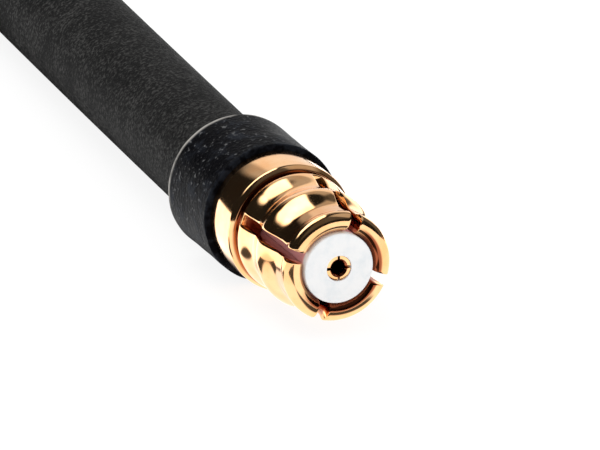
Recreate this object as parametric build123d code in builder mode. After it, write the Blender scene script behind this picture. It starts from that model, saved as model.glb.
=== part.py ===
from build123d import *
from math import atan2, cos, pi, radians, sin, tan
import os

# Push-on coaxial connector on a short cable with the same connector at its far end.
# Millimetres. The near connector's axis is the Y axis, its mating face lies at Y = 0 and
# it looks towards -Y. Both boots and the cable rest on a level surface below the axis.

# Centre contact, turned and gilded, with a slotted socket for the mating pin
socket_bore_radius = 0.21
socket_mouth_radius = 0.27
socket_depth = 2.4
contact_radius = 0.38
socket_front = 0.04
contact_slot_count = 4
contact_slot_width = 0.07
contact_slot_end = 1.74
contact_tail = 0.4
collar_radius = 0.62
collar_front = 4.2
collar_length = 0.3
solder_pot_depth = 1.0

# Insulators
insulator_radius = 1.075
insulator_heel_radius = 1.24
insulator_heel_length = 0.28
rear_insulator_length = 0.8

# Spring contact, the slotted outer sleeve: the lip, two rings and the groove before the flange
tip_inner_round = 0.26
tip_outer_round = 0.27
lip_radius = 1.68
waist_radius = 1.6
ring_radius = 1.84
valley_radius = 1.7
groove_radius = 1.74
waist_front = 0.62
waist_rear = 0.98
front_ring_at = 1.85
valley_at = 2.6
rear_ring_at = 3.4
groove_at = 3.6
finger_count = 4
finger_slot_width = 0.33
finger_slot_end = 3.36
finger_slot_angle = -21.2
spring_tail_radius = 1.5

# Rear body, the flange barrel with the crimp stem behind it
flange_front = 3.72
flange_radius = 1.965
flange_front_chamfer = 0.12
flange_rear_chamfer = 0.04
flange_floor = 0.28
stem_radius = 1.02
stem_bore_radius = 0.79
stem_length = 2.42

# Cable layers and the crimp ferrule over them
conductor_radius = 0.255
core_radius = 0.76
braid_thickness = 0.21
braid_in_cable_radius = 1.0
ferrule_overhang = 0.4
ferrule_radius = 1.725
crimp_flat_count = 6
crimp_apothem = 1.62
crimp_length = 1.6
cable_radius = 1.65

# Shrunk boot over the ferrule, closed down to the cable at its rear shoulder
boot_wall = 0.4
boot_front_chamfer = 0.06
boot_shoulder_round = 0.3
boot_rear_wall = 0.35

# Clearances
fit_gap = 0.01
finger_gap = 0.03
core_gap = 0.05
ferrule_gap = 0.06
braid_gap = 0.3
cut_margin = 1.0

# Places along the axis, from the insulators back to the rear of the boot
insulator_heel_front = collar_front - insulator_heel_length
spring_tail_rear = collar_front + rear_insulator_length
flange_rear = spring_tail_rear + flange_floor
stem_rear = flange_rear + stem_length
ferrule_front = flange_rear + ferrule_gap
ferrule_rear = stem_rear + ferrule_overhang
braid_front = flange_rear + braid_gap
crimp_front = (ferrule_front + ferrule_rear - crimp_length) / 2
contact_rear = flange_rear + contact_tail
core_front = contact_rear + core_gap

# Route of the cable's centre line, from the near boot round to the far one
boot_radius = ferrule_radius + boot_wall
rest_level = -boot_radius
cable_rest = rest_level + cable_radius + fit_gap / 2
far_x = 43.7
near_turn = (1.42, 30.4)
far_turn = (far_x - near_turn[0], near_turn[1])
cable_lean = atan2(near_turn[0], near_turn[1] - ferrule_rear)
cable_dip = atan2(-cable_rest, near_turn[1] - ferrule_rear)
cable_front = ferrule_rear + fit_gap + cable_radius * (sin(cable_lean) + sin(cable_dip))
cable_route = [
    (0.0, cable_front, 0.0),
    (*near_turn, cable_rest),
    (3.25, 53.0, cable_rest),
    (10.75, 62.3, cable_rest),
    (22.05, 65.9, cable_rest),
    (33.45, 62.4, cable_rest),
    (40.8, 53.1, cable_rest),
    (*far_turn, cable_rest),
    (far_x, cable_front, 0.0),
]
arc_share = 0.45


def arc_radii(points):
    """Radius of the arc at each inner point, from its shorter run and its turn."""
    radii = []
    for before, here, after in zip(points, points[1:], points[2:]):
        run_in = Vector(*here) - Vector(*before)
        run_out = Vector(*after) - Vector(*here)
        turn = radians(run_in.get_angle(run_out))
        radii.append(arc_share * min(run_in.length, run_out.length) / tan(turn / 2))
    return radii


def radial_plane(angle):
    """Plane through the axis whose normal points outward at an angle from +X towards +Z."""
    turn = radians(angle)
    return Plane(origin=(0, 0, 0), x_dir=(sin(turn), 0, -cos(turn)), z_dir=(cos(turn), 0, sin(turn)))


# Spring contact: one turned sleeve, slit from the front into four fingers
finger_bore_radius = insulator_radius + finger_gap
heel_bore_radius = insulator_heel_radius + fit_gap
heel_bore_front = insulator_heel_front - fit_gap
with BuildPart() as spring_contact:
    with BuildSketch(Plane.XY):
        with BuildLine():
            bore = Line((finger_bore_radius, heel_bore_front), (finger_bore_radius, tip_inner_round))
            inner_tip = RadiusArc(
                bore @ 1, (finger_bore_radius + tip_inner_round, 0), tip_inner_round
            )
            outer_tip_start = (lip_radius - tip_outer_round, 0)
            Line(inner_tip @ 1, outer_tip_start)
            outer_tip = RadiusArc(outer_tip_start, (lip_radius, tip_outer_round), tip_outer_round)
            waist = Line((waist_radius, waist_front), (waist_radius, waist_rear))
            rear_ring = (ring_radius, rear_ring_at)
            wave = [waist @ 1, (ring_radius, front_ring_at), (valley_radius, valley_at), rear_ring]
            for here, after in [(outer_tip @ 1, waist @ 0), *zip(wave, wave[1:])]:
                middle = (Vector(*here) + Vector(*after)) / 2
                half_wave = TangentArc(here, middle, tangent=(0, 1))
                TangentArc(middle, after, tangent=half_wave % 1)
            groove = (groove_radius, groove_at)
            RadiusArc(rear_ring, groove, 2 * (groove_at - rear_ring_at))
            Polyline(
                groove,
                (groove_radius, flange_front - fit_gap),
                (spring_tail_radius, flange_front - fit_gap),
                (spring_tail_radius, spring_tail_rear),
                (heel_bore_radius, spring_tail_rear),
                (heel_bore_radius, heel_bore_front),
                bore @ 0,
            )
        make_face()
    revolve(axis=Axis.Y)
    for index in range(finger_count):
        with BuildSketch(radial_plane(finger_slot_angle + index * 360 / finger_count)):
            with Locations((0, -cut_margin)):
                Rectangle(
                    finger_slot_width,
                    finger_slot_end + cut_margin,
                    align=(Align.CENTER, Align.MIN),
                )
        extrude(amount=ring_radius + cut_margin, mode=Mode.SUBTRACT)

# Rear body: the flange barrel takes the sleeve's tail, and its stem runs under the braid
with BuildPart() as rear_body:
    with BuildSketch(Plane.XY):
        with BuildLine():
            Polyline(
                (spring_tail_radius + fit_gap, flange_front),
                (flange_radius - flange_front_chamfer, flange_front),
                (flange_radius, flange_front + flange_front_chamfer),
                (flange_radius, flange_rear - flange_rear_chamfer),
                (flange_radius - flange_rear_chamfer, flange_rear),
                (stem_radius, flange_rear),
                (stem_radius, stem_rear),
                (stem_bore_radius, stem_rear),
                (stem_bore_radius, spring_tail_rear + fit_gap),
                (spring_tail_radius + fit_gap, spring_tail_rear + fit_gap),
                close=True,
            )
        make_face()
    revolve(axis=Axis.Y)

# Front insulator, flush with the finger tips, with a heel that keeps it from coming forward
contact_bore_radius = contact_radius + fit_gap
with BuildPart() as front_insulator:
    with BuildSketch(Plane.XY):
        with BuildLine():
            Polyline(
                (contact_bore_radius, 0),
                (insulator_radius, 0),
                (insulator_radius, insulator_heel_front),
                (insulator_heel_radius, insulator_heel_front),
                (insulator_heel_radius, collar_front),
                (contact_bore_radius, collar_front),
                close=True,
            )
        make_face()
    revolve(axis=Axis.Y)

# Rear insulator, counterbored for the collar of the centre contact
collar_seat = collar_front + collar_length + fit_gap
with BuildPart() as rear_insulator:
    with BuildSketch(Plane.XY):
        with BuildLine():
            Polyline(
                (collar_radius + fit_gap, collar_front + fit_gap),
                (insulator_heel_radius, collar_front + fit_gap),
                (insulator_heel_radius, spring_tail_rear),
                (contact_bore_radius, spring_tail_rear),
                (contact_bore_radius, collar_seat),
                (collar_radius + fit_gap, collar_seat),
                close=True,
            )
        make_face()
    revolve(axis=Axis.Y)

# Centre contact: slotted socket in front, collar between the insulators, solder pot behind
mouth_chamfer = socket_mouth_radius - socket_bore_radius
pot_radius = conductor_radius + fit_gap
socket_floor = socket_front + socket_depth
with BuildPart() as centre_contact:
    with BuildSketch(Plane.XY):
        with BuildLine():
            Polyline(
                (0, socket_floor),
                (socket_bore_radius, socket_floor),
                (socket_bore_radius, socket_front + mouth_chamfer),
                (socket_mouth_radius, socket_front),
                (contact_radius, socket_front),
                (contact_radius, collar_front + fit_gap),
                (collar_radius, collar_front + fit_gap),
                (collar_radius, collar_front + collar_length),
                (contact_radius, collar_front + collar_length),
                (contact_radius, contact_rear),
                (pot_radius, contact_rear),
                (pot_radius, contact_rear - solder_pot_depth),
                (0, contact_rear - solder_pot_depth),
                close=True,
            )
        make_face()
    revolve(axis=Axis.Y)
    for index in range(contact_slot_count):
        with BuildSketch(radial_plane(index * 360 / contact_slot_count)):
            with Locations((0, -cut_margin)):
                Rectangle(
                    contact_slot_width,
                    contact_slot_end + cut_margin,
                    align=(Align.CENTER, Align.MIN),
                )
        extrude(amount=contact_radius + cut_margin, mode=Mode.SUBTRACT)

# Bared conductor of the cable, soldered in the pot
with BuildPart() as conductor_end:
    with BuildSketch(Plane.XZ.offset(-(contact_rear - solder_pot_depth + fit_gap))):
        Circle(conductor_radius)
    extrude(amount=-(ferrule_rear - contact_rear + solder_pot_depth - fit_gap))

# Bared core of the cable inside the stem
with BuildPart() as core_end:
    with BuildSketch(Plane.XZ.offset(-core_front)):
        Circle(core_radius)
        Circle(conductor_radius + fit_gap, mode=Mode.SUBTRACT)
    extrude(amount=-(ferrule_rear - core_front))

# Braid, opened over the stem and closing down to the cable behind it
braid_radius = stem_radius + fit_gap + braid_thickness
braid_neck = stem_rear + fit_gap
with BuildPart() as braid_end:
    with BuildSketch(Plane.XY):
        with BuildLine():
            Polyline(
                (stem_radius + fit_gap, braid_front),
                (braid_radius, braid_front),
                (braid_radius, braid_neck),
                (braid_in_cable_radius, ferrule_rear),
                (core_radius + fit_gap, ferrule_rear),
                (core_radius + fit_gap, (braid_neck + ferrule_rear) / 2),
                (stem_radius + fit_gap, braid_neck),
                close=True,
            )
        make_face()
    revolve(axis=Axis.Y)

# Crimp ferrule, round at both ends and pressed to a hexagon between them
with BuildPart() as crimp_ferrule:
    with BuildSketch(Plane.XZ.offset(-ferrule_front)):
        Circle(ferrule_radius)
        Circle(braid_radius + fit_gap, mode=Mode.SUBTRACT)
    extrude(amount=-(ferrule_rear - ferrule_front))
    with BuildSketch(Plane.XZ.offset(-crimp_front)):
        Circle(ferrule_radius + cut_margin)
        RegularPolygon(crimp_apothem, crimp_flat_count, major_radius=False, mode=Mode.SUBTRACT)
    extrude(amount=-crimp_length, mode=Mode.SUBTRACT)

# Boot: a shrunk tube over the ferrule, with a rounded rear shoulder down to the cable
boot_bore_radius = ferrule_radius + fit_gap
boot_bore_rear = ferrule_rear + fit_gap
boot_rear = ferrule_rear + boot_rear_wall
cable_start = Vector(*cable_route[0])
cable_heading = (Vector(*cable_route[1]) - cable_start).normalized()
with BuildPart() as boot:
    with BuildSketch(Plane.XY) as boot_section:
        with BuildLine():
            Polyline(
                (0, boot_bore_rear),
                (boot_bore_radius, boot_bore_rear),
                (boot_bore_radius, flange_rear + fit_gap),
                (boot_radius, flange_rear + fit_gap),
                (boot_radius, boot_rear),
                (0, boot_rear),
                close=True,
            )
        make_face()
        outer_corners = boot_section.vertices().group_by(Axis.X)[-1].sort_by(Axis.Y)
        chamfer(outer_corners[0], boot_front_chamfer)
        fillet(outer_corners[-1], boot_shoulder_round)
    revolve(axis=Axis.Y)
    with BuildSketch(Plane(origin=cable_start, z_dir=cable_heading)):
        Circle(cable_radius + fit_gap)
    extrude(amount=cut_margin, both=True, mode=Mode.SUBTRACT)

# Cable, from one boot to the other, resting on the surface round its bend
radii = arc_radii(cable_route)
with BuildPart() as cable:
    with BuildLine() as centre_line:
        FilletPolyline(*cable_route, radius=radii)
    with BuildSketch(Plane(origin=cable_start, z_dir=cable_heading)):
        Circle(cable_radius)
    sweep(path=centre_line.wire())

cable_length = centre_line.wire().length
print("arc radii", [round(radius, 1) for radius in radii])
print("cable length", round(cable_length, 2))
print("cable volume", round(cable.part.volume, 2))
print("section times length", round(pi * cable_radius**2 * cable_length, 2))

connector_pieces = {
    "spring_contact": spring_contact,
    "rear_body": rear_body,
    "front_insulator": front_insulator,
    "rear_insulator": rear_insulator,
    "centre_contact": centre_contact,
    "conductor_end": conductor_end,
    "core_end": core_end,
    "braid_end": braid_end,
    "crimp_ferrule": crimp_ferrule,
    "boot": boot,
}

os.makedirs("parts", exist_ok=True)
cable.part.label = "cable"
export_step(cable.part, "parts/cable.step")
mirror_plane = Plane.YZ.offset(far_x / 2)
for name, piece in connector_pieces.items():
    piece.part.label = name
    export_step(piece.part, f"parts/{name}.step")
    far_piece = piece.part.mirror(mirror_plane)
    far_piece.label = f"far_{name}"
    export_step(far_piece, f"parts/far_{name}.step")
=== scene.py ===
"""Looks, light and camera of a push-on coaxial connector on its cable.

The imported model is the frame. Pieces that show are turned again here in finer meshes,
with the sizes of the model, and every surface gets a procedural finish.
"""

import logging
import math
from dataclasses import dataclass, field
from enum import Enum
from typing import Iterable, NamedTuple, Sequence, Union

import bmesh
import bpy
from mathutils import Matrix, Vector, noise


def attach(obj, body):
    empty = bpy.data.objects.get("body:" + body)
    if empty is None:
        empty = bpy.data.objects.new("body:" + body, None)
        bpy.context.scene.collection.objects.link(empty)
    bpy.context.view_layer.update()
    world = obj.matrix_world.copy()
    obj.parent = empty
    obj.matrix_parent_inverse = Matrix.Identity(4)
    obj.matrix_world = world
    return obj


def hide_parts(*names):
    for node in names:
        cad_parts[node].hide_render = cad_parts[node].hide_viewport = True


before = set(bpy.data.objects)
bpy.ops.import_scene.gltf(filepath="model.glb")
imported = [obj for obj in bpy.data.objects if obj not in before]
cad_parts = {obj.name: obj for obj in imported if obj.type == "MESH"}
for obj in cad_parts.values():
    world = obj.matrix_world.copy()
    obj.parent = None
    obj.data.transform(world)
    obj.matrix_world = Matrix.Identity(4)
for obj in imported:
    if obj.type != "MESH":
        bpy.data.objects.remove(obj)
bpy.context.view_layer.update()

LOG = logging.getLogger("connector")
MM = 0.001  # a millimetre, in metres
TURN = 2 * math.pi
FAR_X = 43.7  # the far connector's axis, in millimetres
MERGE_GAP = 1e-5  # nearer vertices are one, in millimetres
ON_PLANE = 1e-4  # as near as this lies on a plane, in millimetres
SHARP_ANGLE = math.radians(38)  # steeper folds keep a hard edge

Number = Union[int, float]
Value = Union["Wire", Number]


class Wire:
    """An output socket whose arithmetic adds Math nodes to its material."""

    def __init__(self, sheet: "Sheet", socket: bpy.types.NodeSocket) -> None:
        """Keep the socket and the node sheet it belongs to."""
        self.sheet = sheet
        self.socket = socket

    def _math(self, operation: str, *values: Value) -> "Wire":
        """Add a Math node with this operation on these values."""
        node = self.sheet.node(
            "ShaderNodeMath", {"operation": operation}, dict(enumerate(values))
        )
        return Wire(self.sheet, node.outputs[0])

    def __add__(self, other: Value) -> "Wire":
        """Return the sum."""
        return self._math("ADD", self, other)

    __radd__ = __add__

    def __mul__(self, other: Value) -> "Wire":
        """Return the product."""
        return self._math("MULTIPLY", self, other)

    __rmul__ = __mul__

    def __sub__(self, other: Value) -> "Wire":
        """Return this value less the other."""
        return self._math("SUBTRACT", self, other)

    def __rsub__(self, other: Value) -> "Wire":
        """Return the other value less this one."""
        return self._math("SUBTRACT", other, self)

    def __pow__(self, other: Value) -> "Wire":
        """Return this value to the other's power."""
        return self._math("POWER", self, other)

    def greatest(self, other: Value) -> "Wire":
        """Return the larger of the two values."""
        return self._math("MAXIMUM", self, other)

    def sine(self) -> "Wire":
        """Return the sine."""
        return self._math("SINE", self)

    def size(self) -> "Wire":
        """Return the value without its sign."""
        return self._math("ABSOLUTE", self)

    def arc_sine(self) -> "Wire":
        """Return the angle whose sine this is."""
        return self._math("ARCSINE", self)

    def angle_over(self, base: Value) -> "Wire":
        """Return the angle of the slope of this value over a base, all the way round."""
        return self._math("ARCTAN2", self, base)

    def offset_from(self, centre: float) -> "Wire":
        """Return how far this angle lies from a centre angle, from 0 to half a turn."""
        return self._math("WRAP", self - centre, math.pi, -math.pi).size()

    def step_between(self, low: float, high: float) -> "Wire":
        """Rise smoothly from 0 at low to 1 at high.

        Args:
            low: The value that gives 0.
            high: The value that gives 1, which may lie below low.

        Returns:
            The eased value between 0 and 1.
        """
        node = self.sheet.node(
            "ShaderNodeMapRange",
            {"interpolation_type": "SMOOTHSTEP", "clamp": True},
            {"Value": self, "From Min": low, "From Max": high},
        )
        return Wire(self.sheet, node.outputs[0])


class Sheet:
    """The node tree of one material or world, with one method that makes nodes."""

    def __init__(self, tree: bpy.types.NodeTree) -> None:
        """Empty the tree and keep it."""
        self.tree = tree
        tree.nodes.clear()

    def node(
        self,
        kind: str,
        settings: dict[str, object] | None = None,
        inputs: dict[Union[str, int], object] | None = None,
    ) -> bpy.types.Node:
        """Make a node.

        Args:
            kind: The node's type name.
            settings: Properties, set before the sockets.
            inputs: Values, colours or wires, by socket name or index.

        Returns:
            The new node.
        """
        made = self.tree.nodes.new(kind)
        for key, setting in (settings or {}).items():
            setattr(made, key, setting)
        for key, value in (inputs or {}).items():
            socket = made.inputs[key]
            if isinstance(value, Wire):
                self.tree.links.new(value.socket, socket)
            else:
                socket.default_value = value
        return made

    def wire(self, node: bpy.types.Node, output: Union[str, int] = 0) -> Wire:
        """Return one output of a node as a wire."""
        return Wire(self, node.outputs[output])

    def place(self) -> Wire:
        """Return the object coordinates."""
        return self.wire(self.node("ShaderNodeTexCoord"), "Object")

    def parts(self, vector: Wire) -> tuple[Wire, ...]:
        """Return the X, Y and Z parts of a vector."""
        node = self.node("ShaderNodeSeparateXYZ", inputs={"Vector": vector})
        return tuple(self.wire(node, part) for part in "XYZ")

    def cloud(
        self, place: Wire, size_mm: float, detail: float = 3.0, roughness: float = 0.55
    ) -> Wire:
        """Add a noise texture.

        Args:
            place: The coordinates it reads, in metres.
            size_mm: About the width of one blot.
            detail: How many finer layers it has.
            roughness: How strong the finer layers are.

        Returns:
            The grey noise, from 0 to 1.
        """
        node = self.node(
            "ShaderNodeTexNoise",
            inputs={
                "Vector": place,
                "Scale": 1 / (size_mm * MM),
                "Detail": detail,
                "Roughness": roughness,
            },
        )
        return self.wire(node, 0)

    def blend(self, share: Value, first: object, second: object) -> Wire:
        """Mix two colours.

        Args:
            share: How much of the second colour shows.
            first: A colour or wire.
            second: A colour or wire.

        Returns:
            The mixed colour.
        """
        factor, colour_a, colour_b, colour_out = 0, 6, 7, 2
        node = self.node(
            "ShaderNodeMix",
            {"data_type": "RGBA"},
            {factor: share, colour_a: first, colour_b: second},
        )
        return self.wire(node, colour_out)

    def bump(self, height: Wire, depth_mm: float, strength: float = 1.0) -> Wire:
        """Turn a height into a normal.

        Args:
            height: The height, from 0 to 1.
            depth_mm: How deep the relief is between the two.
            strength: How much of it counts.

        Returns:
            The bent normal.
        """
        node = self.node(
            "ShaderNodeBump",
            inputs={"Strength": strength, "Distance": depth_mm * MM, "Height": height},
        )
        return self.wire(node, "Normal")


def colour(red: float, green: float, blue: float) -> tuple[float, float, float, float]:
    """Return an opaque colour from linear parts."""
    return (red, green, blue, 1.0)


def metres(lengths: Iterable[float]) -> tuple[float, ...]:
    """Return lengths in millimetres as metres."""
    return tuple(length * MM for length in lengths)


@dataclass(frozen=True)
class Finish:
    """A surface finish, which fills the sockets of its shader in its own way.

    Lengths are in millimetres. A pair says where a blend starts and where it is full.
    """

    name: str
    slot: str

    def sockets(self, sheet: Sheet) -> dict[str, object]:
        """Return the values and wires of the surface shader, by socket name."""
        raise NotImplementedError

    def material(self) -> bpy.types.Material:
        """Build the material, or find it where it is built already.

        Returns:
            The material.
        """
        known = bpy.data.materials.get(self.name)
        if known is not None:
            return known
        made = bpy.data.materials.new(self.name)
        made.use_nodes = True
        sheet = Sheet(made.node_tree)
        surface = sheet.node("ShaderNodeBsdfPrincipled", inputs=self.sockets(sheet))
        sheet.node("ShaderNodeOutputMaterial", inputs={"Surface": sheet.wire(surface)})
        return made


@dataclass(frozen=True)
class GoldPlate(Finish):
    """Bright gold over turned metal, with faint tool rings round the axis, and painted shade: a
    dark red tint in the groove, the slots, the socket's mouth and low inside the tip.
    """

    name: str = "gold_plate"
    slot: str = "gold"
    bright: tuple = colour(1.0, 0.6, 0.3)
    deep: tuple = colour(0.96, 0.5, 0.21)
    # painted shade: the dark red tint of the hollows, which stands in for shade and gold
    # reflections
    painted_shade_tint: tuple = colour(0.32, 0.085, 0.035)
    roughness: float = 0.1
    roughness_swing: float = 0.05
    ring_pitch: float = 0.045
    blot_size: float = 0.8
    grain_size: float = 0.05
    mottle: tuple = (0.35, 0.7)
    relief: float = 0.0004
    groove: tuple = (3.55, 3.62, 3.7, 3.77)
    slot_inside: tuple = (1.66, 1.46)
    slot_from: tuple = (0.28, 0.4)
    tip_inside: tuple = (1.39, 1.32)
    tip_core: tuple = (0.8, 1.0)
    tip_fade: tuple = (0.74, -0.18)
    mouth: tuple = (0.29, 0.265)

    def _painted_shade(self, side: Wire, along: Wire, up: Wire) -> Wire:
        """Find where the gold gets painted shade, a dark red tint that stands in for the shade of
        the hollows and for gold mirrored in gold.

        Args:
            side: The X coordinate.
            along: The Y coordinate.
            up: The Z coordinate.

        Returns:
            1 in the groove, the slots, the socket's mouth and low inside the tip.
        """
        half_way = FAR_X / 2 * MM
        off_axis = (side - half_way).size() - half_way
        radius = (off_axis * off_axis + up * up) ** 0.5
        front, floor_front, floor_rear, rear = metres(self.groove)
        groove = along.step_between(front, floor_front) * along.step_between(rear, floor_rear)
        inside = radius.step_between(*metres(self.slot_inside))
        inside = inside * along.step_between(*metres(self.slot_from))
        tip = radius.step_between(*metres(self.tip_inside))
        tip = tip * radius.step_between(*metres(self.tip_core))
        tip = tip * (off_axis + up).step_between(*metres(self.tip_fade))
        mouth = radius.step_between(*metres(self.mouth))
        return groove.greatest(inside).greatest(tip).greatest(mouth)

    def sockets(self, sheet: Sheet) -> dict[str, object]:
        """Return the gilded sockets.

        Args:
            sheet: The material's node sheet.

        Returns:
            The shader's values and wires, by socket name.
        """
        place = sheet.place()
        side, along, up = sheet.parts(place)
        blots = sheet.cloud(place, self.blot_size)
        grain = sheet.cloud(place, self.grain_size, detail=2.0)
        rings = (along * (TURN / (self.ring_pitch * MM))).sine() * 0.5 + 0.5
        plate = sheet.blend(blots.step_between(*self.mottle), self.bright, self.deep)
        swing = (grain + blots) * self.roughness_swing
        return {
            # painted shade: the dark red tint blends in over the plate where the mask finds the
            # hollows
            "Base Color": sheet.blend(self._painted_shade(side, along, up), plate, self.painted_shade_tint),
            "Metallic": 1.0,
            "Roughness": swing + (self.roughness - self.roughness_swing),
            "Normal": sheet.bump(rings * 0.6 + grain * 0.4, self.relief, 0.6),
        }


@dataclass(frozen=True)
class WhiteInsulator(Finish):
    """Turned white PTFE, faintly waxy, with a fine grain and a painted orange tint on its sides
    behind the face, which stands in for light reflected from the gold and for shade.
    """

    name: str = "white_ptfe"
    slot: str = "ptfe"
    light: tuple = colour(0.97, 0.97, 0.97)
    shade: tuple = colour(0.86, 0.89, 0.91)
    # painted reflected light and shade: the orange tint of the sides behind the face, seen through
    # the slots
    side: tuple = colour(0.97, 0.42, 0.42)
    painted_bounce_from: tuple = (0.2, 0.34)
    blot_size: float = 0.45
    grain_size: float = 0.06
    mottle: tuple = (0.4, 0.75)
    relief: float = 0.003

    def sockets(self, sheet: Sheet) -> dict[str, object]:
        """Return the sockets of the white plastic.

        Args:
            sheet: The material's node sheet.

        Returns:
            The shader's values and wires, by socket name.
        """
        place = sheet.place()
        _, along, _ = sheet.parts(place)
        blots = sheet.cloud(place, self.blot_size, detail=4.0)
        grain = sheet.cloud(place, self.grain_size)
        behind = along.step_between(*metres(self.painted_bounce_from))
        face = sheet.blend(blots.step_between(*self.mottle), self.light, self.shade)
        return {
            # the sides behind the face get the painted orange tint of gold light and shade
            "Base Color": sheet.blend(behind, face, self.side),
            "Roughness": grain * 0.2 + 0.4,
            "Normal": sheet.bump(grain, self.relief, 0.5),
        }


@dataclass(frozen=True)
class ShrunkTube(Finish):
    """Black shrunk tube: satin, with soft unevenness over the crimp, painted glints in pale specks
    and a painted highlight along the rear shoulder.
    """

    name: str = "shrunk_black"
    slot: str = "heat_shrink"
    dark: tuple = colour(0.003, 0.003, 0.004)
    worn: tuple = colour(0.014, 0.016, 0.021)
    # painted glints: pale specks that stand in for the tube's speckled highlights
    painted_glint: tuple = colour(0.24, 0.24, 0.24)
    # painted highlight: a pale line along the rounded rear shoulder
    painted_shoulder_highlight: tuple = colour(0.42, 0.4, 0.37)
    shoulder: tuple = (8.08, 8.22, 8.43)
    glint_free_front: tuple = (5.36, 5.7)
    specular_level: float = 0.012
    blot_size: float = 0.7
    grain_size: float = 0.13
    glint_size: float = 0.13
    wear_from: tuple = (0.48, 0.62)
    glint_from: tuple = (0.6, 0.74)
    shoulder_highlight_from: tuple = (0.3, 0.6)
    relief: float = 0.08

    def sockets(self, sheet: Sheet) -> dict[str, object]:
        """Return the sockets of the shrunk tube.

        Args:
            sheet: The material's node sheet.

        Returns:
            The shader's values and wires, by socket name.
        """
        place = sheet.place()
        _, along, _ = sheet.parts(place)
        blots = sheet.cloud(place, self.blot_size)
        grain = sheet.cloud(place, self.grain_size, roughness=0.6)
        wear = (blots * 0.7 + grain * 0.3).step_between(*self.wear_from)
        # painted glints: pale specks that stand in for speckled highlights, none on the front face
        painted_glints = sheet.cloud(place, self.glint_size, detail=2.0)
        painted_glints = painted_glints.step_between(*self.glint_from)
        painted_glints = painted_glints * along.step_between(*metres(self.glint_free_front))
        tube = sheet.blend(wear, self.dark, self.worn)
        tube = sheet.blend(painted_glints * blots, tube, self.painted_glint)
        # painted highlight: a pale line along the rear shoulder, broken up by the blots
        start, middle, stop = metres(self.shoulder)
        edge = along.step_between(start, middle) * along.step_between(stop, middle)
        edge = edge * blots.step_between(*self.shoulder_highlight_from)
        return {
            "Base Color": sheet.blend(edge, tube, self.painted_shoulder_highlight),
            "Roughness": blots * 0.3 + grain * 0.25 + 0.12,
            "Specular IOR Level": self.specular_level,
            "Normal": sheet.bump((grain + blots) * 0.5, self.relief, 0.9),
        }


@dataclass(frozen=True)
class CableJacket(Finish):
    """Matt black jacket with a fine pale grain."""

    name: str = "jacket_black"
    slot: str = "cable_jacket"
    dark: tuple = colour(0.009, 0.009, 0.009)
    dust: tuple = colour(0.06, 0.059, 0.057)
    specular_level: float = 0.012
    grain_size: float = 0.1
    blot_size: float = 1.1
    dust_from: tuple = (0.44, 0.68)
    relief: float = 0.05

    def sockets(self, sheet: Sheet) -> dict[str, object]:
        """Return the sockets of the jacket.

        Args:
            sheet: The material's node sheet.

        Returns:
            The shader's values and wires, by socket name.
        """
        place = sheet.place()
        grain = sheet.cloud(place, self.grain_size, detail=4.0, roughness=0.65)
        blots = sheet.cloud(place, self.blot_size)
        dusty = (grain * 0.82 + blots * 0.18).step_between(*self.dust_from)
        return {
            "Base Color": sheet.blend(dusty, self.dark, self.dust),
            "Roughness": grain * 0.2 + 0.45,
            "Specular IOR Level": self.specular_level,
            "Normal": sheet.bump(grain * 0.7 + blots * 0.3, self.relief, 0.8),
        }


@dataclass(frozen=True)
class BrightWire(Finish):
    """Silver-plated copper of the cable's braid and conductor."""

    name: str = "silvered_copper"
    slot: str = "copper"
    silver: tuple = colour(0.82, 0.8, 0.76)
    copper: tuple = colour(0.75, 0.45, 0.3)
    grain_size: float = 0.12
    bare_from: tuple = (0.6, 0.8)

    def sockets(self, sheet: Sheet) -> dict[str, object]:
        """Return the sockets of the wire.

        Args:
            sheet: The material's node sheet.

        Returns:
            The shader's values and wires, by socket name.
        """
        grain = sheet.cloud(sheet.place(), self.grain_size)
        return {
            "Base Color": sheet.blend(
                grain.step_between(*self.bare_from), self.silver, self.copper
            ),
            "Metallic": 1.0,
            "Roughness": grain * 0.2 + 0.25,
        }


GOLD = GoldPlate()
PTFE = WhiteInsulator()
SHRUNK = ShrunkTube()
JACKET = CableJacket()
WIRE = BrightWire()


class Corner(NamedTuple):
    """A corner of a turned outline, in millimetres."""

    radius: float
    along: float
    rounding: float = 0.0


def ease(start: Corner, stop: Corner, share: float) -> Corner:
    """Return a corner on the smooth half wave from start to stop."""
    swing = (1 - math.cos(math.pi * share)) / 2
    return Corner(
        start.radius + (stop.radius - start.radius) * swing,
        start.along + (stop.along - start.along) * share,
    )


@dataclass
class Turning:
    """A closed outline turned round the Y axis into a mesh, in millimetres."""

    outline: list[Corner]
    steps: int = 128
    arc_segments: int = 6

    def mesh(self) -> bmesh.types.BMesh:
        """Round the outline's corners and spin it once round.

        Returns:
            The closed mesh, with its normals outward.
        """
        bm = bmesh.new()
        verts = [bm.verts.new((corner.radius, corner.along, 0.0)) for corner in self.outline]
        face = bm.faces.new(verts)
        by_rounding: dict[float, list[bmesh.types.BMVert]] = {}
        for vert, corner in zip(verts, self.outline):
            if corner.rounding:
                by_rounding.setdefault(corner.rounding, []).append(vert)
        for rounding, corners in by_rounding.items():
            bmesh.ops.bevel(
                bm,
                geom=corners,
                offset=rounding,
                offset_type="OFFSET",
                affect="VERTICES",
                segments=self.arc_segments,
                profile=0.5,
                material=-1,
                clamp_overlap=True,
            )
        bmesh.ops.delete(bm, geom=list(bm.faces), context="FACES_ONLY")
        bmesh.ops.spin(
            bm,
            geom=list(bm.verts) + list(bm.edges),
            cent=(0, 0, 0),
            axis=(0, 1, 0),
            angle=TURN,
            steps=self.steps,
            use_merge=True,
        )
        bmesh.ops.remove_doubles(bm, verts=list(bm.verts), dist=MERGE_GAP)
        bmesh.ops.recalc_face_normals(bm, faces=list(bm.faces))
        return bm


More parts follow.
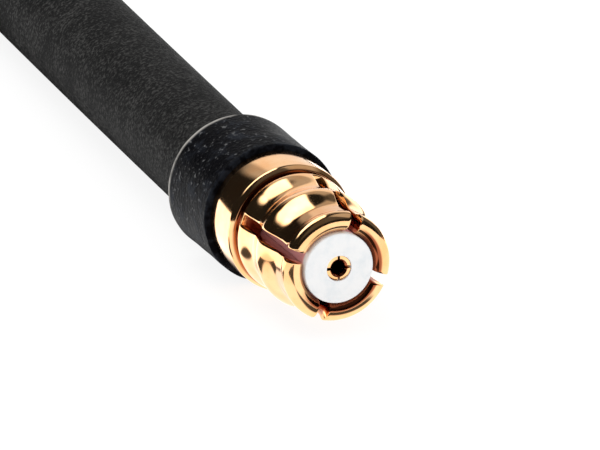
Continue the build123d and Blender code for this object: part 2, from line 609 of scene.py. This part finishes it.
@dataclass
class Slots:
    """Saw cuts from the front into a turned sleeve, evenly spaced round it."""

    count: int
    width: float
    end: float
    angle: float
    wall_columns: int = 2
    edge_round: float = 0.0

    def _turned(self, place: Vector) -> tuple[float, float, float]:
        """Measure a place from the nearest slot.

        Args:
            place: The place, in millimetres.

        Returns:
            Its radius, its angle from the nearest slot, and that slot's angle.
        """
        radius = math.hypot(place.x, place.z)
        spacing = TURN / self.count
        angle = math.atan2(place.z, place.x) - math.radians(self.angle)
        slot = round(angle / spacing) * spacing
        return radius, angle - slot, slot + math.radians(self.angle)

    def align(self, bm: bmesh.types.BMesh, steps: int) -> None:
        """Slide the columns of vertices so that the walls of each slot run parallel.

        Args:
            bm: A turned mesh with a column of vertices on each slot's centre line.
            steps: The number of columns.
        """
        wall = self.wall_columns * TURN / steps
        half_space = math.pi / self.count
        for vert in bm.verts:
            radius, off, slot = self._turned(vert.co)
            if radius < self.width:
                continue
            true_wall = math.asin(self.width / 2 / radius)
            if abs(off) <= wall:
                moved = off * true_wall / wall
            else:
                rest = (abs(off) - wall) / (half_space - wall)
                moved = math.copysign(true_wall + rest * (half_space - true_wall), off)
            vert.co.x = radius * math.cos(slot + moved)
            vert.co.z = radius * math.sin(slot + moved)

    def cut(self, bm: bmesh.types.BMesh, steps: int) -> None:
        """Open the slots and close their walls and floors.

        Args:
            bm: The turned mesh.
            steps: The number of columns of the mesh.
        """
        bmesh.ops.rotate(
            bm,
            verts=list(bm.verts),
            cent=(0, 0, 0),
            matrix=Matrix.Rotation(-math.radians(self.angle), 3, "Y"),
        )
        self.align(bm, steps)
        gone = []
        for face in bm.faces:
            centre = face.calc_center_median()
            radius, off, _ = self._turned(centre)
            aside = abs(math.sin(off)) * radius
            if centre.y < self.end and aside < self.width / 2 - ON_PLANE:
                gone.append(face)
        bmesh.ops.delete(bm, geom=gone, context="FACES")
        rims: list[bmesh.types.BMEdge] = []
        open_edges = [edge for edge in bm.edges if edge.is_boundary]
        for index in range(self.count):
            slot = index * TURN / self.count + math.radians(self.angle)
            across = Vector((-math.sin(slot), 0, math.cos(slot)))
            outward = Vector((math.cos(slot), 0, math.sin(slot)))
            near = [
                edge for edge in open_edges
                if all(
                    abs(v.co.dot(across)) < self.width and v.co.dot(outward) > 0
                    for v in edge.verts
                )
            ]
            posts = []
            for side in (-1, 1):
                offset = side * self.width / 2
                wall = [
                    edge for edge in near
                    if all(abs(v.co.dot(across) - offset) < ON_PLANE for v in edge.verts)
                ]
                feet = {
                    v for edge in wall for v in edge.verts
                    if abs(v.co.y - self.end) < ON_PLANE
                }
                post = bm.edges.new(sorted(feet, key=lambda v: v.co.length))
                posts.append(post)
                bmesh.ops.edgeloop_fill(bm, edges=wall + [post])
                rims += wall
            floor = [
                edge for edge in near
                if all(abs(v.co.y - self.end) < ON_PLANE for v in edge.verts)
            ]
            bmesh.ops.edgeloop_fill(bm, edges=floor + posts)
            rims += floor
        bmesh.ops.recalc_face_normals(bm, faces=list(bm.faces))
        if self.edge_round:
            bmesh.ops.bevel(
                bm,
                geom=rims,
                offset=self.edge_round,
                offset_type="OFFSET",
                affect="EDGES",
                segments=2,
                profile=0.5,
                material=-1,
                clamp_overlap=True,
            )


class End(Enum):
    """The two ends of the cable."""

    NEAR = ""
    FAR = "far_"


def finish_piece(
    bm: bmesh.types.BMesh, name: str, end: End, finish: Finish, nodes: Iterable[str]
) -> bpy.types.Object:
    """Turn a mesh in millimetres into a finished piece of one end.

    Args:
        bm: The mesh, made for the near end. It is freed.
        name: The piece's name, without the end's prefix.
        end: Which end it belongs to. The far end is the near one's mirror image.
        finish: Its surface.
        nodes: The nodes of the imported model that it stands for, without the prefix.

    Returns:
        The object, which rides on the root body.
    """
    if end is End.FAR:
        bmesh.ops.scale(bm, vec=(-1, 1, 1), verts=list(bm.verts))
        bmesh.ops.translate(bm, vec=(FAR_X, 0, 0), verts=list(bm.verts))
        bmesh.ops.recalc_face_normals(bm, faces=list(bm.faces))
    bmesh.ops.scale(bm, vec=(MM, MM, MM), verts=list(bm.verts))
    for face in bm.faces:
        face.smooth = True
    for edge in bm.edges:
        edge.smooth = edge.calc_face_angle(0.0) < SHARP_ANGLE
    mesh = bpy.data.meshes.new(end.value + name)
    bm.to_mesh(mesh)
    bm.free()
    piece = bpy.data.objects.new(end.value + name, mesh)
    bpy.context.scene.collection.objects.link(piece)
    mesh.materials.append(finish.material())
    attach(piece, "root")
    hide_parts(*(end.value + node for node in nodes))
    LOG.info("%s: %d faces", piece.name, len(mesh.polygons))
    return piece


@dataclass
class SpringSleeve:
    """The slotted outer contact: lip, two rings and the groove before the flange."""

    bore: float = 1.105
    heel_bore: float = 1.25
    heel_front: float = 3.91
    tip_inner_round: float = 0.26
    tip_outer_round: float = 0.27
    lip: float = 1.68
    waves: list[Corner] = field(
        default_factory=lambda: [
            Corner(1.68, 0.27),
            Corner(1.6, 0.62),
            Corner(1.6, 0.98),
            Corner(1.84, 1.85),
            Corner(1.7, 2.6),
            Corner(1.84, 3.4),
        ]
    )
    groove: float = 1.74
    groove_front: float = 3.6
    groove_round: float = 0.03
    rear: float = 3.71
    tail: float = 1.5
    tail_rear: float = 5.0
    slots: Slots = field(
        default_factory=lambda: Slots(count=4, width=0.33, end=3.36, angle=-21.2, edge_round=0.03)
    )
    steps: int = 128
    wave_steps: int = 12
    tip_steps: int = 8

    def outer_line(self) -> list[Corner]:
        """Draw the waved outside.

        Returns:
            Its corners from front to rear, with one where the slots end.
        """
        line = []
        for start, stop in zip(self.waves, self.waves[1:]):
            for step in range(self.wave_steps):
                line.append(ease(start, stop, step / self.wave_steps))
            if start.along < self.slots.end < stop.along:
                share = (self.slots.end - start.along) / (stop.along - start.along)
                line.append(ease(start, stop, share))
        line.append(self.waves[-1])
        return sorted(line, key=lambda corner: corner.along)

    def tip_line(self) -> list[Corner]:
        """Draw the rounded finger tip.

        Returns:
            Its corners from the bore to the lip.
        """
        turns = [math.pi / 2 * step / self.tip_steps for step in range(self.tip_steps + 1)]
        line = []
        for turn in turns:
            line.append(
                Corner(
                    self.bore + self.tip_inner_round * (1 - math.cos(turn)),
                    self.tip_inner_round * (1 - math.sin(turn)),
                )
            )
        for turn in turns:
            line.append(
                Corner(
                    self.lip - self.tip_outer_round * (1 - math.sin(turn)),
                    self.tip_outer_round * (1 - math.cos(turn)),
                )
            )
        return line

    def build(self, end: End) -> bpy.types.Object:
        """Turn, slot and gild the sleeve of one end.

        Args:
            end: Which end of the cable it belongs to.

        Returns:
            The finished object.
        """
        outline = [
            Corner(self.heel_bore, self.tail_rear),
            Corner(self.heel_bore, self.heel_front),
            Corner(self.bore, self.heel_front),
            Corner(self.bore, self.slots.end),
            *self.tip_line()[:-1],
            *self.outer_line(),
            Corner(self.groove, self.groove_front, self.groove_round),
            Corner(self.groove, self.rear),
            Corner(self.tail, self.rear),
            Corner(self.tail, self.tail_rear),
        ]
        bm = Turning(outline, self.steps).mesh()
        self.slots.cut(bm, self.steps)
        return finish_piece(bm, "spring_sleeve", end, GOLD, ["spring_contact"])


@dataclass
class FlangeBarrel:
    """The plain barrel behind the groove, with the crimp stem inside the boot."""

    front: float = 3.72
    rear: float = 5.28
    radius: float = 1.965
    bore: float = 1.51
    bore_rear: float = 5.01
    stem: float = 1.02
    stem_bore: float = 0.79
    stem_rear: float = 7.7
    chamfer: float = 0.12
    chamfer_rounds: tuple = (0.02, 0.05)
    rear_round: float = 0.04

    def build(self, end: End) -> bpy.types.Object:
        """Turn and gild the barrel of one end.

        Args:
            end: Which end of the cable it belongs to.

        Returns:
            The finished object.
        """
        outline = [
            Corner(self.bore, self.bore_rear),
            Corner(self.bore, self.front),
            Corner(self.radius - self.chamfer, self.front, self.chamfer_rounds[0]),
            Corner(self.radius, self.front + self.chamfer, self.chamfer_rounds[1]),
            Corner(self.radius, self.rear, self.rear_round),
            Corner(self.stem, self.rear),
            Corner(self.stem, self.stem_rear),
            Corner(self.stem_bore, self.stem_rear),
            Corner(self.stem_bore, self.bore_rear),
        ]
        bm = Turning(outline).mesh()
        return finish_piece(bm, "flange_barrel", end, GOLD, ["rear_body"])


@dataclass
class Insulator:
    """The white front insulator round the centre contact."""

    radius: float = 1.075
    bore: float = 0.39
    heel: float = 1.24
    heel_front: float = 3.92
    rear: float = 4.2
    bore_round: float = 0.006
    edge_round: float = 0.05
    steps: int = 96

    def build(self, end: End) -> bpy.types.Object:
        """Turn the insulator of one end.

        Args:
            end: Which end of the cable it belongs to.

        Returns:
            The finished object.
        """
        outline = [
            Corner(self.bore, self.rear),
            Corner(self.bore, 0.0, self.bore_round),
            Corner(self.radius, 0.0, self.edge_round),
            Corner(self.radius, self.heel_front),
            Corner(self.heel, self.heel_front),
            Corner(self.heel, self.rear),
        ]
        bm = Turning(outline, self.steps).mesh()
        return finish_piece(bm, "insulator", end, PTFE, ["front_insulator"])


@dataclass
class CentreContact:
    """The slotted gold socket in the middle, with its collar and solder pot."""

    bore: float = 0.21
    mouth: float = 0.27
    radius: float = 0.38
    front: float = 0.04
    floor: float = 2.44
    collar: float = 0.62
    collar_front: float = 4.21
    collar_rear: float = 4.5
    rear: float = 5.68
    pot: float = 0.265
    pot_floor: float = 4.68
    axis_gap: float = 0.002
    throat_round: float = 0.01
    mouth_round: float = 0.015
    edge_round: float = 0.004
    slots: Slots = field(
        default_factory=lambda: Slots(
            count=4, width=0.07, end=1.74, angle=0.0, wall_columns=1, edge_round=0.008
        )
    )
    steps: int = 64

    def build(self, end: End) -> bpy.types.Object:
        """Turn, slot and gild the contact of one end.

        Args:
            end: Which end of the cable it belongs to.

        Returns:
            The finished object.
        """
        outline = [
            Corner(self.axis_gap, self.floor),
            Corner(self.bore, self.floor),
            Corner(self.bore, self.slots.end),
            Corner(self.bore, self.front + self.mouth - self.bore, self.throat_round),
            Corner(self.mouth, self.front, self.mouth_round),
            Corner(self.radius, self.front, self.edge_round),
            Corner(self.radius, self.slots.end),
            Corner(self.radius, self.collar_front),
            Corner(self.collar, self.collar_front),
            Corner(self.collar, self.collar_rear),
            Corner(self.radius, self.collar_rear),
            Corner(self.radius, self.rear),
            Corner(self.pot, self.rear),
            Corner(self.pot, self.pot_floor),
            Corner(self.axis_gap, self.pot_floor),
        ]
        bm = Turning(outline, self.steps, arc_segments=3).mesh()
        self.slots.cut(bm, self.steps)
        return finish_piece(bm, "centre_socket", end, GOLD, ["centre_contact"])


@dataclass
class ShrunkBoot:
    """The black tube shrunk over the crimp and closed down to the cable."""

    front: float = 5.29
    rear: float = 8.45
    radius: float = 2.125
    bore: float = 1.735
    bore_rear: float = 8.11
    cable_hole: float = 1.672
    shoulder_round: float = 0.28
    front_round: float = 0.07
    flat_count: int = 6
    flat_depth: float = 0.03
    wrinkle: float = 0.012
    wrinkles_per_mm: float = 1.7
    bore_round: float = 0.02
    hole_round: float = 0.03
    skin: float = 0.05
    rows: int = 24
    steps: int = 120

    def build(self, end: End) -> bpy.types.Object:
        """Turn the boot of one end and let the crimp's flats show through it.

        Args:
            end: Which end of the cable it belongs to.

        Returns:
            The finished object.
        """
        length = self.rear - self.front
        outside = [
            Corner(self.radius, self.front + length * (row + 1) / (self.rows + 1))
            for row in range(self.rows)
            if length * (self.rows - row) / (self.rows + 1) > self.shoulder_round
        ]
        outline = [
            Corner(self.bore, self.bore_rear),
            Corner(self.bore, self.front, self.bore_round),
            Corner(self.radius, self.front, self.front_round),
            *outside,
            Corner(self.radius, self.rear, self.shoulder_round),
            Corner(self.cable_hole, self.rear, self.hole_round),
            Corner(self.cable_hole, self.bore_rear),
        ]
        bm = Turning(outline, self.steps).mesh()
        for vert in bm.verts:
            radius = math.hypot(vert.co.x, vert.co.z)
            if radius < self.bore + self.skin:
                continue
            angle = math.atan2(vert.co.z, vert.co.x)
            middle = math.sin(math.pi * (vert.co.y - self.front) / length)
            dip = self.flat_depth * (0.5 + 0.5 * math.cos(angle * self.flat_count)) * middle
            ripple = self.wrinkle * noise.noise(vert.co * self.wrinkles_per_mm)
            share = (radius - dip + ripple) / radius
            vert.co.x *= share
            vert.co.z *= share
        return finish_piece(bm, "shrunk_boot", end, SHRUNK, ["boot"])


@dataclass
class Cable:
    """The free cable between the boots, one smooth line along the model's route."""

    diameter: float = 3.3
    length: float = 135.8
    route: tuple = (
        (0.0, 8.243, 0.0),
        (1.42, 30.4, -0.47),
        (3.25, 53.0, -0.47),
        (10.75, 62.3, -0.47),
        (22.05, 65.9, -0.47),
        (33.45, 62.4, -0.47),
        (40.8, 53.1, -0.47),
        (42.28, 30.4, -0.47),
        (FAR_X, 8.243, 0.0),
    )
    exit: tuple = (0.0, 8.45, 0.0)

    def build(self) -> bpy.types.Object:
        """Draw the cable along its route.

        Returns:
            The curve object.
        """
        data = bpy.data.curves.new("cable_run", "CURVE")
        data.dimensions = "3D"
        data.bevel_depth = self.diameter / 2 * MM
        data.bevel_resolution = 16
        data.resolution_u = 24
        data.use_fill_caps = True
        spline = data.splines.new("NURBS")
        spline.points.add(len(self.route) - 1)
        for point, place in zip(spline.points, self.route):
            point.co = (*metres(place), 1.0)
        spline.order_u = 3
        spline.use_endpoint_u = True
        run = bpy.data.objects.new("cable_run", data)
        bpy.context.scene.collection.objects.link(run)
        data.materials.append(JACKET.material())
        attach(run, "root")
        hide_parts("cable")
        return run

    def declare(self, pieces: Sequence[bpy.types.Object]) -> None:
        """Log the cable's length.

        Args:
            pieces: The pieces at its far end. Not used.
        """
        LOG.info("cable_run: %.1f mm long", self.length)


HIDDEN_FINISHES: dict[str, Finish] = {
    "rear_insulator": PTFE,
    "core_end": PTFE,
    "conductor_end": WIRE,
    "braid_end": WIRE,
    "crimp_ferrule": GOLD,
}


@dataclass
class Connector:
    """One complete connector: the pieces that show and the ones inside it."""

    end: End

    def build(self) -> list[bpy.types.Object]:
        """Build the pieces that show and finish the nodes inside.

        Returns:
            All the pieces of this end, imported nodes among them.
        """
        pieces = [
            part.build(self.end)
            for part in (SpringSleeve(), FlangeBarrel(), Insulator(), CentreContact(), ShrunkBoot())
        ]
        for node, finish in HIDDEN_FINISHES.items():
            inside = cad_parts[self.end.value + node]
            inside.data.materials.clear()
            inside.data.materials.append(finish.material())
            pieces.append(inside)
        return pieces


@dataclass(frozen=True)
class Pane:
    """A soft-edged bright pane of the light tent, in degrees as seen from the part.

    Azimuth 0 looks along +Y, and it grows towards +X.
    """

    azimuth: float
    half_width: float
    low: float
    high: float
    strength: float
    blur: float = 10.0

    def light(self, azimuth: Wire, elevation: Wire) -> Wire:
        """Work out the pane's brightness in one direction.

        Args:
            azimuth: The direction's azimuth, in radians.
            elevation: Its elevation, in radians.

        Returns:
            The brightness, from 0 to the pane's strength.
        """
        off = azimuth.offset_from(math.radians(self.azimuth))
        blur, half = math.radians(self.blur), math.radians(self.half_width)
        low, high = math.radians(self.low), math.radians(self.high)
        across = off.step_between(half + blur / 2, half - blur / 2)
        up = elevation.step_between(low - blur / 2, low + blur / 2)
        down = elevation.step_between(high + blur / 2, high - blur / 2)
        return across * up * down * self.strength


@dataclass(frozen=True)
class Shade:
    """A soft-edged patch of painted shadow on the floor that only the gloss shows, in millimetres.
    """

    left: float
    right: float
    front: float
    back: float
    depth: float = 0.97
    blur: float = 0.8

    def cover(self, side: Wire, along: Wire) -> Wire:
        """Work out how dark the patch makes a spot of the floor.

        Args:
            side: The spot's X coordinate.
            along: Its Y coordinate.

        Returns:
            How dark it is, from 0 to the patch's depth.
        """
        half = self.blur / 2
        edges = [
            wire.step_between((edge - half) * MM, (edge + half) * MM)
            for wire, edge in (
                (side, self.left), (along, self.front), (side, self.right), (along, self.back)
            )
        ]
        return edges[0] * edges[1] * (1 - edges[2]) * (1 - edges[3]) * self.depth


@dataclass
class Studio:
    """The pale floor and the soft light round the connector."""

    floor_level: float = -2.125
    floor_size: float = 4000.0
    paper: tuple = colour(0.93, 0.93, 0.93)
    glow_share: float = 0.8
    mirror_share: float = 0.96
    glow: float = 1.08
    shine: float = 1.4
    far_shine: float = 0.9
    far_shine_from: tuple = (4.0, 8.0)
    ambient: float = 0.95
    room: float = 0.012
    shades: tuple = (
        Shade(left=-8.0, right=-0.8, front=-10.0, back=-4.0, blur=0.7),
        Shade(left=-0.9, right=2.2, front=-3.7, back=-0.9, blur=0.6),
        Shade(left=-7.5, right=-3.2, front=3.6, back=6.2, blur=0.6),
        Shade(left=-1.8, right=1.0, front=5.4, back=40.0, blur=1.2),
        Shade(left=42.0, right=45.6, front=5.4, back=40.0, blur=1.2),
    )
    panes: tuple = (
        Pane(azimuth=-56, half_width=17, low=38, high=84, strength=3.0, blur=10),
        Pane(azimuth=-20, half_width=31, low=43, high=80, strength=2.8, blur=8),
        Pane(azimuth=-3, half_width=9, low=24, high=69, strength=0.5, blur=8),
        Pane(azimuth=25, half_width=25, low=-3, high=36, strength=1.0, blur=10),
        Pane(azimuth=25, half_width=22, low=30, high=53, strength=0.45, blur=8),
        Pane(azimuth=45, half_width=10, low=-20, high=18, strength=1.8, blur=8),
        Pane(azimuth=65, half_width=39, low=-12, high=51, strength=0.1, blur=8),
        Pane(azimuth=100, half_width=42, low=35, high=79, strength=0.5, blur=16),
        Pane(azimuth=180, half_width=45, low=25, high=95, strength=0.08, blur=20),
    )

    def floor(self) -> None:
        """Lay a square of white paper under the part, which glows brighter than white in
        reflections, more so towards the back, with patches of painted shadow.
        """
        bm = bmesh.new()
        bmesh.ops.create_grid(bm, x_segments=1, y_segments=1, size=self.floor_size / 2 * MM)
        bmesh.ops.translate(bm, verts=list(bm.verts), vec=(0, 0, self.floor_level * MM))
        mesh = bpy.data.meshes.new("paper_floor")
        bm.to_mesh(mesh)
        bm.free()
        paper = bpy.data.objects.new("paper_floor", mesh)
        bpy.context.scene.collection.objects.link(paper)
        made = bpy.data.materials.new("white_paper")
        made.use_nodes = True
        sheet = Sheet(made.node_tree)
        rays = sheet.node("ShaderNodeLightPath")
        seen = sheet.wire(rays, "Is Camera Ray")
        mirrored = sheet.wire(rays, "Is Glossy Ray")
        side, along, _ = sheet.parts(sheet.place())
        matt = sheet.node("ShaderNodeBsdfDiffuse", inputs={"Color": self.paper})
        far = along.step_between(*metres(self.far_shine_from))
        mirror = self.shine + far * self.far_shine
        # painted shadow: the shades darken the floor where the gloss sees it
        for shade in self.shades:
            mirror = mirror * (1 - shade.cover(side, along))
        lit = seen * self.glow + mirrored * mirror
        glow = sheet.node("ShaderNodeEmission", inputs={"Color": lit})
        share = (seen * self.glow_share).greatest(mirrored * self.mirror_share)
        mixed = sheet.node("ShaderNodeMixShader", inputs={0: share})
        made.node_tree.links.new(matt.outputs[0], mixed.inputs[1])
        made.node_tree.links.new(glow.outputs[0], mixed.inputs[2])
        sheet.node("ShaderNodeOutputMaterial", inputs={"Surface": sheet.wire(mixed)})
        mesh.materials.append(made)

    def sky(self) -> None:
        """Surround the part with a dark room that has bright soft panes in it."""
        world = bpy.data.worlds.new("light_tent")
        bpy.context.scene.world = world
        world.use_nodes = True
        sheet = Sheet(world.node_tree)
        rays = sheet.node("ShaderNodeLightPath")
        x, y, z = sheet.parts(sheet.wire(sheet.node("ShaderNodeTexCoord"), "Generated"))
        azimuth, elevation = x.angle_over(y), z.arc_sine()
        tent = self.panes[0].light(azimuth, elevation).greatest(self.room)
        for pane in self.panes[1:]:
            tent = tent.greatest(pane.light(azimuth, elevation))
        glossy = sheet.wire(rays, "Is Glossy Ray")
        camera = sheet.wire(rays, "Is Camera Ray")
        grey = camera + (1 - camera) * (glossy * tent + (1 - glossy) * self.ambient)
        shine = sheet.node("ShaderNodeBackground", inputs={"Color": grey})
        sheet.node("ShaderNodeOutputWorld", inputs={"Surface": sheet.wire(shine)})

    def lamp(self, name: str, place: Sequence[float], size: float, power: float) -> None:
        """Hang a square soft lamp that looks at the connector.

        Args:
            name: The lamp's name.
            place: Where it hangs, in millimetres.
            size: The length of its side, in millimetres.
            power: Its power in watts.
        """
        data = bpy.data.lights.new(name, "AREA")
        data.shape = "SQUARE"
        data.size = size * MM
        data.energy = power
        lamp = bpy.data.objects.new(name, data)
        lamp.visible_glossy = False
        lamp.location = Vector(place) * MM
        lamp.rotation_mode = "QUATERNION"
        lamp.rotation_quaternion = Vector(place).to_track_quat("Z", "Y")
        bpy.context.scene.collection.objects.link(lamp)

    def build(self) -> None:
        """Set up the floor, the tent and the lamp."""
        self.floor()
        self.sky()
        self.lamp("top_lamp", (-60.0, 110.0, 240.0), 120.0, 0.12)


@dataclass
class Viewpoint:
    """The camera: a long lens that sees the connector as in the picture.

    The place of the rim's centre is in pixels from the middle of the picture. The near clip
    is a share of the distance, and the far clip is in metres.
    """

    azimuth: float = -22.0
    elevation: float = 19.4
    frame_width: float = 17.54
    picture_width: float = 600.0
    rim_right: float = 39.3
    rim_down: float = 43.6
    lens: float = 1100.0
    sensor: float = 36.0
    near_clip: float = 0.1
    far_clip: float = 10.0

    def build(self) -> None:
        """Place the camera by the rim's place in the picture."""
        azimuth, elevation = math.radians(self.azimuth), math.radians(self.elevation)
        toward = Vector(
            (
                math.sin(azimuth) * math.cos(elevation),
                -math.cos(azimuth) * math.cos(elevation),
                math.sin(elevation),
            )
        )
        turn = toward.to_track_quat("Z", "Y")
        right = turn @ Vector((1, 0, 0))
        up = turn @ Vector((0, 1, 0))
        scale = self.frame_width / self.picture_width
        centre = up * (self.rim_down * scale) - right * (self.rim_right * scale)
        distance = self.frame_width * self.lens / self.sensor
        data = bpy.data.cameras.new("long_lens")
        data.lens = self.lens
        data.sensor_width = self.sensor
        data.clip_start = self.near_clip * distance * MM
        data.clip_end = self.far_clip
        camera = bpy.data.objects.new("long_lens", data)
        camera.rotation_mode = "QUATERNION"
        camera.rotation_quaternion = turn
        camera.location = (centre + toward * distance) * MM
        bpy.context.scene.collection.objects.link(camera)
        bpy.context.scene.camera = camera


def main() -> None:
    """Build the camera, the cable, both connectors and the studio, in that order."""
    logging.basicConfig(level=logging.INFO, format="%(name)s: %(message)s")
    bpy.context.scene.view_settings.view_transform = "Standard"
    Viewpoint().build()
    cable = Cable()
    run = cable.build()
    Connector(End.NEAR).build()
    cable.declare(Connector(End.FAR).build())
    Studio().build()


if __name__ == "__main__":
    main()
